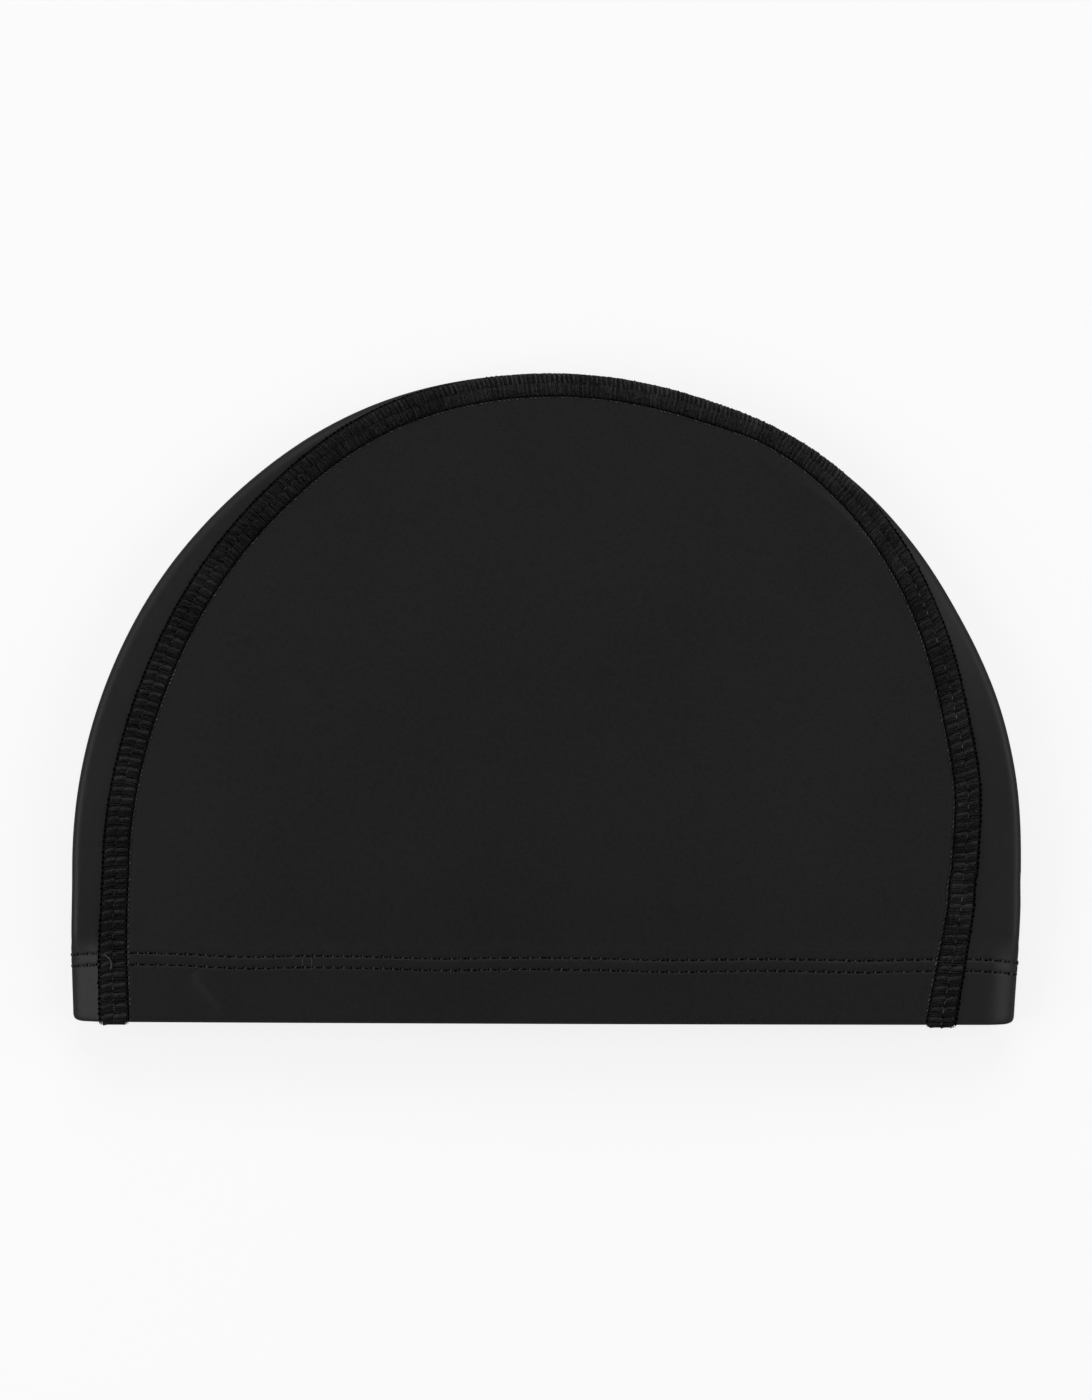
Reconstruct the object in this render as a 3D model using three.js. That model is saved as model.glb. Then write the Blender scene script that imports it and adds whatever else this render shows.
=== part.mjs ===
// A stretch swim cap laid flat on its side. A half-round side panel lies on top, a larger wrap panel lies
// underneath and comes up round the folded edge, and one flatlock seam joins the two over the crown.
// Millimetres. +X runs along the mouth, +Y points to the crown and +Z up. The cap rests on z = 0.
import * as THREE from "three";
import { mergeVertices } from "three/addons/utils/BufferGeometryUtils.js";

// Outline of the cap as it lies
const capWidth = 230; // across the widest part
const sideHeight = 37; // from the edge of the mouth up to where the sides start to turn in
const crownRise = 120.7; // from there up to the top of the crown
const mouthSlant = 0.8; // how much lower the right end of the mouth's edge lies than the left end

// Form of the cap as it lies
const underFold = 5; // radius of the fold's lower half, from the table up to its outermost line
const upperFold = 5; // radius of the fold's upper half
const domeRise = 4.5; // of the middle of the side panel over its rim
const mouthDrop = 1.8; // how much lower that rise is at the mouth

// Cloth and hem
const clothWall = 1;
const hemHeight = 17.8; // from the edge of the mouth up to the raw edge of the turned-up hem
const hemGap = 0.3; // between the cloth and the hem turned up behind it

// Flatlock seam
const seamWidth = 6.2;
const seamFlare = 1; // how much wider it is at the edge of the mouth
const seamFull = 0.9; // thickness of the cover threads at the middle of each column of stitches
const seamThin = 0.45; // their thickness along the three needle lines
const seamBackWidth = 5.8; // of the threads on the inside
const seamBack = 0.5; // thickness of the threads on the inside
const seamCore = 0.7; // width of the stitching between the two cut edges
const seamTail = 0.7; // how far the seam's ends stand out past the edge of the mouth
const seamReach = 20.7; // farthest that the seam's middle lies from the fold, measured along the cloth
const clearance = 0.3; // between the seam and the cloth that it holds

// How finely the cloth is divided
const arcStations = 40;
const hemSteps = 3;
const sideSteps = 3;
const bendSteps = 4;
const panelColumns = 9;
const rimColumns = 8;
const foldColumns = 5;
const underColumns = 3;
const lobeSteps = 8;

// The outline and the seam. A turn of -1 to 0 goes up the left side, 0 to 1 round the arc from left to
// right, and 1 to 2 down the right side. Bulge is how far the outline stands out from the plain arc, as a
// share of capWidth. Reach is the distance of the seam's middle from the fold, as a share of seamReach.
const edgeRows = [
  { turn: -1.00, bulge: -0.0022, reach: 0.626 },
  { turn: -0.50, bulge: 0.0000, reach: 0.633 },
  { turn: 0.00, bulge: -0.0010, reach: 0.654 },
  { turn: 0.10, bulge: 0.0000, reach: 0.680 },
  { turn: 0.17, bulge: 0.0000, reach: 0.644 },
  { turn: 0.28, bulge: 0.0000, reach: 0.509 },
  { turn: 0.39, bulge: 0.0017, reach: 0.343 },
  { turn: 0.50, bulge: -0.0012, reach: 0.247 },
  { turn: 0.61, bulge: 0.0005, reach: 0.218 },
  { turn: 0.66, bulge: 0.0039, reach: 0.166 },
  { turn: 0.72, bulge: 0.0090, reach: 0.286 },
  { turn: 0.78, bulge: 0.0087, reach: 0.399 },
  { turn: 0.83, bulge: 0.0065, reach: 0.509 },
  { turn: 0.89, bulge: 0.0065, reach: 0.675 },
  { turn: 0.94, bulge: 0.0043, reach: 0.725 },
  { turn: 1.00, bulge: 0.0004, reach: 0.800 },
  { turn: 1.25, bulge: 0.0000, reach: 0.845 },
  { turn: 1.60, bulge: -0.0028, reach: 0.920 },
  { turn: 1.85, bulge: -0.0055, reach: 0.970 },
  { turn: 2.00, bulge: -0.0070, reach: 1.000 },
];

const quarterTurn = Math.PI / 2;
const hemBend = clothWall + hemGap / 2; // outer radius of the fold at the edge of the mouth

// A value of one column of edgeRows at a turn, on a smooth curve through the rows.
function readRows(column, turn) {
  const last = edgeRows.length - 1;
  const at = THREE.MathUtils.clamp(turn, edgeRows[0].turn, edgeRows[last].turn);
  let i = 0;
  while (i < last - 1 && edgeRows[i + 1].turn < at) i++;
  const slope = (k) => {
    const before = edgeRows[Math.max(k - 1, 0)];
    const after = edgeRows[Math.min(k + 1, last)];
    return (after[column] - before[column]) / (after.turn - before.turn);
  };
  const [a, b] = [edgeRows[i], edgeRows[i + 1]];
  const step = b.turn - a.turn;
  const t = (at - a.turn) / step;
  const ease = t * t * (3 - 2 * t);
  const leave = t * (1 - t) * (1 - t) * step;
  const arrive = t * t * (t - 1) * step;
  return a[column] + (b[column] - a[column]) * ease + slope(i) * leave + slope(i + 1) * arrive;
}

const turnOfLeft = (height) => height / sideHeight - 1;
const turnOfRight = (height) => 2 - height / sideHeight;

// Where the outline is at a turn, which way is inwards, and how far it is to the middle.
function edgeAt(turn) {
  const angle = Math.PI * THREE.MathUtils.clamp(turn, 0, 1);
  const bulge = readRows("bulge", turn) * capWidth;
  const outward = new THREE.Vector2(-Math.cos(angle), Math.sin(angle));
  const reach = new THREE.Vector2((capWidth / 2) * outward.x, crownRise * outward.y);
  const span = reach.length() + bulge;
  const inward = reach.clone().normalize().negate();
  const height = sideHeight * (turn < 0 ? 1 + turn : turn > 1 ? 2 - turn : 1);
  const middle = new THREE.Vector2(0, height);
  return { middle, inward, span, height };
}

// The section of the cloth's face at an edge: distance in from the outline, and height off the table, at a
// distance along the cloth that is 0 on the fold, positive over the top and negative underneath.
function sectionAt(edge, along) {
  const fold = along >= 0 ? upperFold : underFold;
  const walked = Math.abs(along) / fold;
  const inside = walked < quarterTurn ? 1 - Math.cos(walked) : 1 + walked - quarterTurn;
  const lift = walked < quarterTurn ? Math.sin(walked) : 1;
  const distance = fold * inside;
  if (along < 0) return new THREE.Vector2(distance, underFold * (1 - lift));
  const ease = THREE.MathUtils.smoothstep(edge.height, 0, sideHeight);
  const rise = domeRise - mouthDrop * (1 - ease);
  const dome = rise * Math.sin((quarterTurn * distance) / edge.span);
  return new THREE.Vector2(distance, underFold + upperFold * lift + dome);
}

// A point of the cloth: at a turn, a distance along the section, and an inset below the cloth's face.
function clothPoint(turn, along, inset) {
  const edge = edgeAt(turn);
  const nudge = 0.01;
  const here = sectionAt(edge, along);
  const tangent = sectionAt(edge, along + nudge).sub(sectionAt(edge, along - nudge)).normalize();
  const distance = here.x + tangent.y * inset;
  const height = here.y - tangent.x * inset;
  const plan = edge.middle.clone().addScaledVector(edge.inward, distance - edge.span);
  const slant = mouthSlant * (1 - THREE.MathUtils.smoothstep(edge.height, 0, sideHeight));
  return new THREE.Vector3(plan.x, plan.y - (slant * plan.x) / capWidth, height);
}

const seamMiddle = (turn) => seamReach * readRows("reach", turn);
const middleOfTop = (turn) => edgeAt(turn).span - upperFold + upperFold * quarterTurn;
const middleOfUnder = (turn) => edgeAt(turn).span - underFold + underFold * quarterTurn;

// Evenly spaced values from one to the other, both included.
const spread = (from, to, steps) =>
  Array.from({ length: steps + 1 }, (_, i) => THREE.MathUtils.lerp(from, to, i / steps));

// The rows of cloth up one side of the mouth: up from the raw edge of the hem, which lies behind, down round
// the fold at the mouth and up the outside. Each gives its height and its inset at a depth into the cloth.
function mouthRows() {
  const turnedUp = spread(hemHeight, hemBend, hemSteps).map((height) => (depth) => ({
    height,
    inset: 2 * hemBend - depth,
  }));
  const bend = spread(Math.PI, 0, bendSteps)
    .slice(1, -1)
    .map((angle) => (depth) => ({
      height: hemBend - (hemBend - depth) * Math.sin(angle),
      inset: hemBend - (hemBend - depth) * Math.cos(angle),
    }));
  const outside = [
    ...spread(hemBend, hemHeight, hemSteps),
    ...spread(hemHeight, sideHeight, sideSteps).slice(1, -1),
  ].map((height) => (depth) => ({ height, inset: depth }));
  return [...turnedUp, ...bend, ...outside];
}

// Every row of a panel, from the left side of the mouth over the crown to the right side.
function panelRows() {
  const side = mouthRows();
  const placed = (row, turnOf) => (depth) => {
    const { height, inset } = row(depth);
    return { turn: turnOf(height), inset };
  };
  return [
    ...side.map((row) => placed(row, turnOfLeft)),
    ...spread(0, 1, arcStations).map((turn) => (depth) => ({ turn, inset: depth })),
    ...side.map((row) => placed(row, turnOfRight)).reverse(),
  ];
}

// A closed mesh from points and faces: shared points are merged, and faces with no area are left out.
function closedGeometry(points, faces) {
  const raw = new THREE.BufferGeometry();
  raw.setAttribute("position", new THREE.Float32BufferAttribute(points.flatMap((p) => p.toArray()), 3));
  raw.setIndex(faces.flat());
  const merged = mergeVertices(raw, 1e-3);
  const index = merged.index.array;
  const kept = [];
  for (let i = 0; i < index.length; i += 3) {
    const [a, b, c] = [index[i], index[i + 1], index[i + 2]];
    if (a !== b && b !== c && c !== a) kept.push(a, b, c);
  }
  merged.setIndex(kept);
  merged.computeVertexNormals();
  return merged;
}

const quad = (a, b, c, d) => [
  [a, b, c],
  [a, c, d],
];

// A panel of cloth with its hem turned up. Its columns run from the cut edge at the seam to the middle,
// where the rows of the left side meet those of the right: distances(turn) lists them along the section.
// Depths are those of its two skins below the cloth's face, in the order that turns the faces outwards.
function panelGeometry(distances, depths) {
  const rows = panelRows();
  const skins = depths.map((depth) =>
    rows.map((row) => {
      const { turn, inset } = row(depth);
      return distances(turn).map((along) => clothPoint(turn, along, inset));
    }),
  );
  const columns = skins[0][0].length;
  const id = (skin, row, column) => (skin * rows.length + row) * columns + column;
  const faces = [];
  for (let r = 0; r < rows.length - 1; r++) {
    faces.push(...quad(id(0, r, 0), id(1, r, 0), id(1, r + 1, 0), id(0, r + 1, 0)));
    for (let c = 0; c < columns - 1; c++) {
      faces.push(...quad(id(0, r, c), id(0, r + 1, c), id(0, r + 1, c + 1), id(0, r, c + 1)));
      faces.push(...quad(id(1, r, c), id(1, r, c + 1), id(1, r + 1, c + 1), id(1, r + 1, c)));
    }
  }
  const end = rows.length - 1;
  for (let c = 0; c < columns - 1; c++) {
    faces.push(...quad(id(0, 0, c), id(0, 0, c + 1), id(1, 0, c + 1), id(1, 0, c)));
    faces.push(...quad(id(0, end, c), id(1, end, c), id(1, end, c + 1), id(0, end, c + 1)));
  }
  return closedGeometry(skins.flat(2), faces);
}

const cutEdge = seamCore / 2 + clearance; // of each panel, from the middle of the seam

function sidePanel() {
  const crowding = 2.2; // draws the columns towards the rim
  const distances = (turn) => {
    const start = seamMiddle(turn) + cutEdge;
    return spread(0, 1, panelColumns).map((share) =>
      THREE.MathUtils.lerp(start, middleOfTop(turn), share ** crowding),
    );
  };
  return panelGeometry(distances, [clothWall, 0]);
}

function wrapPanel() {
  const crowding = 1.5; // draws the columns towards the fold
  const roundFold = underFold * quarterTurn;
  const distances = (turn) => [
    ...spread(1, 0, rimColumns).map((share) => (seamMiddle(turn) - cutEdge) * share ** crowding),
    ...spread(0, -roundFold, foldColumns).slice(1),
    ...spread(-roundFold, -middleOfUnder(turn), underColumns).slice(1),
  ];
  return panelGeometry(distances, [0, clothWall]);
}

// The seam's cross-section as pairs of an offset across it and an inset below the face of the cloth. Two
// rounded columns of cover threads lie on top, a core goes down between the cut edges, and flat threads
// lie inside. Depth is how thick the cloth is there, and width is that of the cover threads.
function seamSection(depth, width) {
  const cover = spread(-width / 2, width / 2, lobeSteps).map((offset) => {
    const lobe = Math.abs(Math.sin((2 * Math.PI * offset) / width));
    return [offset, -clearance - THREE.MathUtils.lerp(seamThin, seamFull, lobe)];
  });
  const half = [
    [width / 2, -clearance],
    [width / 4, -clearance],
    [seamCore / 2, -clearance],
    [seamCore / 2, depth + clearance],
    [seamBackWidth / 2, depth + clearance],
    [seamBackWidth / 2, depth + clearance + seamBack],
  ];
  const otherHalf = half.map(([offset, inset]) => [-offset, inset]).reverse();
  return [...cover, ...half, ...otherHalf];
}

function crownSeam() {
  const hemEnd = hemHeight + clearance;
  const hemStep = 1.5; // over which the seam's inside steps down from the hem to the single cloth
  const overHem = [-seamTail, ...spread(hemBend, hemHeight, hemSteps), hemEnd];
  const overSide = spread(hemEnd + hemStep, sideHeight, sideSteps).slice(0, -1);
  const deep = overHem.map((height) => ({ height, depth: 2 * hemBend }));
  const side = [...deep, ...overSide.map((height) => ({ height, depth: clothWall }))];
  const placed = (turnOf) => side.map(({ height, depth }) => ({ turn: turnOf(height), depth }));
  const stations = [
    ...placed(turnOfLeft),
    ...spread(0, 1, arcStations).map((turn) => ({ turn, depth: clothWall })),
    ...placed(turnOfRight).reverse(),
  ];
  const flared = (turn) => {
    const narrowing = THREE.MathUtils.smoothstep(edgeAt(turn).height, 0, sideHeight);
    return seamWidth + seamFlare * (1 - narrowing);
  };
  const rings = stations.map(({ turn, depth }) =>
    seamSection(depth, flared(turn)).map(([offset, inset]) =>
      clothPoint(turn, seamMiddle(turn) + offset, inset),
    ),
  );
  const around = rings[0].length;
  const faces = [];
  for (let r = 0; r < rings.length - 1; r++) {
    for (let k = 0; k < around; k++) {
      const next = (k + 1) % around;
      const [here, there] = [r * around, (r + 1) * around];
      faces.push(...quad(here + k, here + next, there + next, there + k));
    }
  }
  const endSection = seamSection(2 * hemBend, seamWidth + seamFlare);
  const outline = endSection.map(([offset, inset]) => new THREE.Vector2(offset, inset));
  const end = (rings.length - 1) * around;
  for (const [a, b, c] of THREE.ShapeUtils.triangulateShape(outline, [])) {
    faces.push([a, c, b], [end + a, end + b, end + c]);
  }
  return closedGeometry(rings.flat(), faces);
}

const coatedCloth = new THREE.MeshStandardMaterial({ color: 0x1f1f1f, roughness: 0.5, metalness: 0 });
const seamThread = new THREE.MeshStandardMaterial({ color: 0x17171a, roughness: 0.9, metalness: 0 });

function named(name, geometry, material) {
  const mesh = new THREE.Mesh(geometry, material);
  mesh.name = name;
  return mesh;
}

const cap = new THREE.Group();
cap.add(named("side_panel", sidePanel(), coatedCloth));
cap.add(named("wrap_panel", wrapPanel(), coatedCloth));
cap.add(named("crown_seam", crownSeam(), seamThread));

// The origin is on the table, under the middle of the cap.
const extent = new THREE.Box3().setFromObject(cap);
const centre = extent.getCenter(new THREE.Vector3());
cap.position.set(-centre.x, -centre.y, -extent.min.z);

export default cap;
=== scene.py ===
"""Dresses a swim cap: coated cloth, a twin-needle hem, a flatlock seam and a photo studio."""

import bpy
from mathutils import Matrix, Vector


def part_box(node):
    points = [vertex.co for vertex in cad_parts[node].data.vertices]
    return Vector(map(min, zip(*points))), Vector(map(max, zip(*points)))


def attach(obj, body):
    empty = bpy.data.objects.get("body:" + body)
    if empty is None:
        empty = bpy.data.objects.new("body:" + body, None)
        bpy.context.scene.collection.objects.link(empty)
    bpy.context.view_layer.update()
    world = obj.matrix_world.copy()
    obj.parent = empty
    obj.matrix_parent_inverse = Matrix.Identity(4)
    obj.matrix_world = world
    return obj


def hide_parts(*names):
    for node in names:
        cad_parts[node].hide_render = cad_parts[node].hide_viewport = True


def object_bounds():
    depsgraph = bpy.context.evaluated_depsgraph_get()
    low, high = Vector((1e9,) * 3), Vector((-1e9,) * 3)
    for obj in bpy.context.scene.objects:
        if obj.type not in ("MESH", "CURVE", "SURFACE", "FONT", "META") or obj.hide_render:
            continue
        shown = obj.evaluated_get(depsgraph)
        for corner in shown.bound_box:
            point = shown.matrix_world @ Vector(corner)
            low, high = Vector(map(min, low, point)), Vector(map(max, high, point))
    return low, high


bl_info = {
    "name": "Swim Cap Dresser",
    "version": (1, 0, 0),
    "blender": (4, 5, 0),
    "location": "View3D > Sidebar > Swim Cap",
    "description": "Builds the cloth, the seam and the stitches of a swim cap that lies flat",
    "category": "Object",
}

import math

import bmesh
import bpy
import numpy as np
from mathutils import Vector, noise

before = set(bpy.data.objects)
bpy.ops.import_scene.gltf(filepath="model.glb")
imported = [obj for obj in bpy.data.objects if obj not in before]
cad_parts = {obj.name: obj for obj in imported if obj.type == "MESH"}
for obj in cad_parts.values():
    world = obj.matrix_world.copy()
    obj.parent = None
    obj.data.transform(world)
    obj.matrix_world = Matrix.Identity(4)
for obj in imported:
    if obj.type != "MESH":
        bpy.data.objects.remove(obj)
cad_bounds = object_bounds()

BODY = "root"
MM = 0.001
CAD_LOW, CAD_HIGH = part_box("wrap_panel")

# The outline and the seam, as in the model's own source. A turn of -1 to 0 goes up the left side, 0 to 1
# round the arc from left to right, and 1 to 2 down the right side. Bulge is how far the outline stands out
# from the plain arc, as a share of the cap's width. Reach is the distance of the seam's middle from the
# fold, as a share of the seam's farthest one.
EDGE_COLUMNS = ("turn", "bulge", "reach")
EDGE_ROWS = (
    (-1.00, -0.0022, 0.626),
    (-0.50, 0.0000, 0.633),
    (0.00, -0.0010, 0.654),
    (0.10, 0.0000, 0.680),
    (0.17, 0.0000, 0.644),
    (0.28, 0.0000, 0.509),
    (0.39, 0.0017, 0.343),
    (0.50, -0.0012, 0.247),
    (0.61, 0.0005, 0.218),
    (0.66, 0.0039, 0.166),
    (0.72, 0.0090, 0.286),
    (0.78, 0.0087, 0.399),
    (0.83, 0.0065, 0.509),
    (0.89, 0.0065, 0.675),
    (0.94, 0.0043, 0.725),
    (1.00, 0.0004, 0.800),
    (1.25, 0.0000, 0.845),
    (1.60, -0.0028, 0.920),
    (1.85, -0.0055, 0.970),
    (2.00, -0.0070, 1.000),
)
EDGE = dict(zip(EDGE_COLUMNS, np.array(EDGE_ROWS).T))

# Height of the upper row of hem stitches over the mouth's edge. Across is a share of half the cap's width,
# from the left outline to the right one, and height is a share of the stitch height setting.
STITCH_COLUMNS = ("across", "height")
STITCH_ROWS = (
    (-1.00, 1.030),
    (-0.94, 1.070),
    (-0.78, 1.064),
    (-0.64, 1.019),
    (-0.50, 1.038),
    (-0.36, 1.028),
    (-0.23, 1.000),
    (-0.06, 1.020),
    (0.10, 1.010),
    (0.26, 0.984),
    (0.45, 1.003),
    (0.60, 0.990),
    (0.68, 0.978),
    (0.76, 0.994),
    (0.92, 0.997),
    (1.00, 0.940),
)
STITCH = dict(zip(STITCH_COLUMNS, np.array(STITCH_ROWS).T))


def length(name, description, millimetres, **more):
    """A size setting, in metres."""
    return bpy.props.FloatProperty(
        name=name, description=description, default=millimetres * MM, unit="LENGTH", precision=5, **more
    )


def share(name, description, value):
    """A setting between none and all."""
    return bpy.props.FloatProperty(
        name=name, description=description, default=value, min=0, max=1, subtype="FACTOR"
    )


def number(name, description, value, **more):
    """A plain number."""
    return bpy.props.FloatProperty(name=name, description=description, default=value, **more)


def count(name, description, value):
    """A whole number of things."""
    return bpy.props.IntProperty(name=name, description=description, default=value, min=1)


def colour(name, description, value):
    """A linear colour setting."""
    return bpy.props.FloatVectorProperty(
        name=name, description=description, default=value, size=3, min=0, max=1, subtype="COLOR"
    )


class CapForm(bpy.types.PropertyGroup):
    """The form in which the cap lies, as in the model's source."""

    cap_width: length("Width", "Across the widest part", round((CAD_HIGH.x - CAD_LOW.x) / MM))
    side_height: length("Side height", "From the mouth's edge to where the sides turn in", 37)
    crown_rise: length("Crown rise", "From there up to the top of the crown", 120.7)
    mouth_slant: length("Mouth slant", "How much lower the mouth's right end lies", 0.8)
    under_fold: length("Under fold", "Radius of the fold's lower half", 5)
    upper_fold: length("Upper fold", "Radius of the fold's upper half", 5)
    dome_rise: length("Dome", "Rise of the side panel's middle over its rim", 4.5)
    mouth_drop: length("Mouth drop", "How much lower that rise is at the mouth", 1.8)
    hem_height: length("Hem", "From the mouth's edge to the raw edge of the hem", 17.8)
    cad_bend: length("Model's bend", "Outer radius of the fold at the mouth in the model", 1.15)
    wall: length("Cloth", "Thickness of the cloth", 0.8)
    hem_gap: length("Hem gap", "Between the cloth and the hem turned up behind it", 0.1)
    cut_edge: length("Cut edge", "Of each panel, from the middle of the seam", 0.5)
    wave: length("Waves", "Height of the broad, soft waves of the cloth", 0.1)
    shoulder: length("Shoulder", "Radius with which the crown's fold turns onto the upper side", 2.6)
    side_shoulder: length("Side shoulder", "Radius with which the sides' folds turn onto it", 1.8)
    facet_reach: length("Facet reach", "How far in from the fold the hem slopes down to it", 7)
    left_facet: share("Left facet", "How far down the left end of the hem is pressed", 0.31)
    right_facet: share("Right facet", "How far down the right end of the hem is pressed", 0.26)
    side_facet: share("Side facet", "How far down the right side is pressed where it turns in", 0.26)
    side_reach: length("Side reach", "How far in from the fold it slopes down there", 8)
    corner: length("Corner", "Radius of the outline where the mouth's edge meets the fold", 1.8)
    floor_gap: length("Floor gap", "How closely threads and hem are pressed flat underneath", 0.1)


class SeamStitches(bpy.types.PropertyGroup):
    """The flatlock seam's threads."""

    width: length("Width", "Across the cover threads", 5.75)
    flare: length("Flare", "How much wider the seam is at the mouth", 0.65)
    reach: length("Reach", "Farthest that the seam's middle lies from the fold", 20.7)
    tail: length("Tail", "How far the ends stand out past the mouth's edge", 0.6)
    end_pitch: length("Pitch at the ends", "From stitch to stitch near the mouth", 2.52)
    crown_pitch: length("Pitch at the crown", "From stitch to stitch over the crown", 2.25)
    strands: count("Strands", "Cover threads in one stitch of one column", 4)
    strand_radius: length("Strand radius", "Of one cover thread", 0.28)
    puff: length("Puff", "How far the threads arch up between two needle lines", 0.42)
    pillow: length("Pillow", "How much higher the middle threads of a stitch lie", 0.3)
    slant: length("Slant", "How far a thread runs on while it crosses one column", 0.2)
    sag: length("Sag", "How far one end of a thread hangs back", 0.15)
    lean: number("Lean", "How much more the outer threads lean than the inner ones", 0.14, subtype="ANGLE")
    ruffle: length("Ruffle", "How far the fluffed threads stray from their run", 0.13)
    fill: share("Fill", "How much of a stitch its threads take up", 0.92)
    # The bar's lighter tone is a painted highlight on the taut thread of each stitch
    bar_tone: number("Bar tone", "How much lighter the taut thread of each stitch is", 1.4, min=0)
    tape: length("Bed", "Height of the thread bed under the cover threads", 0.3)
    back_width: length("Back width", "Across the threads on the inside", 5.6)
    core: length("Core", "Width of the stitching between the two cut edges", 0.7)


class HemStitches(bpy.types.PropertyGroup):
    """The two rows of stitches round the mouth."""

    height: length("Height", "Of the upper row over the mouth's edge", 15.7)
    gauge: length("Gauge", "Between the two rows", 2.8)
    pitch: length("Pitch", "From stitch to stitch", 2.37)
    reach: share("Stitch", "How much of the pitch a stitch covers", 0.66)
    thread_radius: length("Thread radius", "Of the needle threads", 0.2)
    sink: length("Groove", "How deep the rows are drawn into the cloth", 0.2)
    ridge: length("Ridge", "How far the cloth stands up between the rows", 0.08)
    pinch: length("Pinch", "Height of the cloth pinched up between two stitches", 0.16)


class CapColours(bpy.types.PropertyGroup):
    """The colours of cloth and thread, one for each material."""

    coated_cloth: colour("Coating", "Outer face of the side panel", (0.0074, 0.0075, 0.0074))
    # The same coating as the side panel, made lighter: painted light on the folds
    wrap_cloth: colour("Wrap coating", "Outer face of the wrap panel", (0.0098, 0.0099, 0.0099))
    knit_back: colour("Knit", "Inner face of the cloth", (0.014, 0.014, 0.015))
    seam_thread: colour("Seam thread", "Threads of the flatlock seam", (0.0077, 0.0078, 0.0084))
    # A lighter copy of the seam thread: painted highlight on the seam's short threads
    taut_thread: colour("Taut thread", "Short taut threads of the seam", (0.042, 0.042, 0.044))
    # Its black also paints shade: in the needle holes, partly thread, and in the line along the seam's edges
    hem_thread: colour("Hem thread", "Threads of the hem's rows, and needle holes", (0.0006, 0.0006, 0.0006))
    # A lighter copy of the coating: partly stretch whitening, partly a painted glint on the pinched cloth
    pinched_cloth: colour("Pinched cloth", "Coating stretched over pinched places", (0.038, 0.038, 0.038))
    loose_thread: colour("Loose thread", "The one loose thread end", (0.055, 0.055, 0.055))


class StudioSettings(bpy.types.PropertyGroup):
    """The floor, the lights and the camera."""

    frame_width: length("Picture width", "Of what the camera sees at the height of the fold", 265.25)
    camera_height: length("Camera height", "Of the camera over the floor", 1500)
    floor: colour("Floor", "The pale floor", (0.2, 0.2, 0.2))
    floor_glow: number("Floor glow", "Light that comes through the floor from below", 0.81, min=0)
    top_power: number("Top light", "Power of the light beyond the crown", 19.5, unit="POWER")
    left_power: number("Left light", "Power of the light at the left", 7, unit="POWER")
    right_power: number("Right light", "Power of the light at the right", 6, unit="POWER")
    horizon: number("Horizon", "Brightness of the surround low down", 0.5, min=0)
    zenith: number("Zenith", "Brightness of the surround overhead", 0.12, min=0)


def read_rows(table, key, column, at):
    """A value of a table's column at a key, on a smooth curve through its rows."""
    keys, values = table[key], table[column]
    last = len(keys) - 1
    at = np.clip(at, keys[0], keys[last])
    i = np.clip(np.searchsorted(keys, at, side="right") - 1, 0, last - 1)
    row = np.arange(last + 1)
    before, after = np.maximum(row - 1, 0), np.minimum(row + 1, last)
    slope = (values[after] - values[before]) / (keys[after] - keys[before])
    step = keys[i + 1] - keys[i]
    t = (at - keys[i]) / step
    ease = t * t * (3 - 2 * t)
    leave = t * (1 - t) ** 2 * step
    arrive = t * t * (t - 1) * step
    return values[i] + (values[i + 1] - values[i]) * ease + slope[i] * leave + slope[i + 1] * arrive


def smooth_step(value, low, high):
    t = np.clip((value - low) / (high - low), 0, 1)
    return t * t * (3 - 2 * t)


def bell(value, width):
    return np.exp(-0.5 * (value / width) ** 2)


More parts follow.
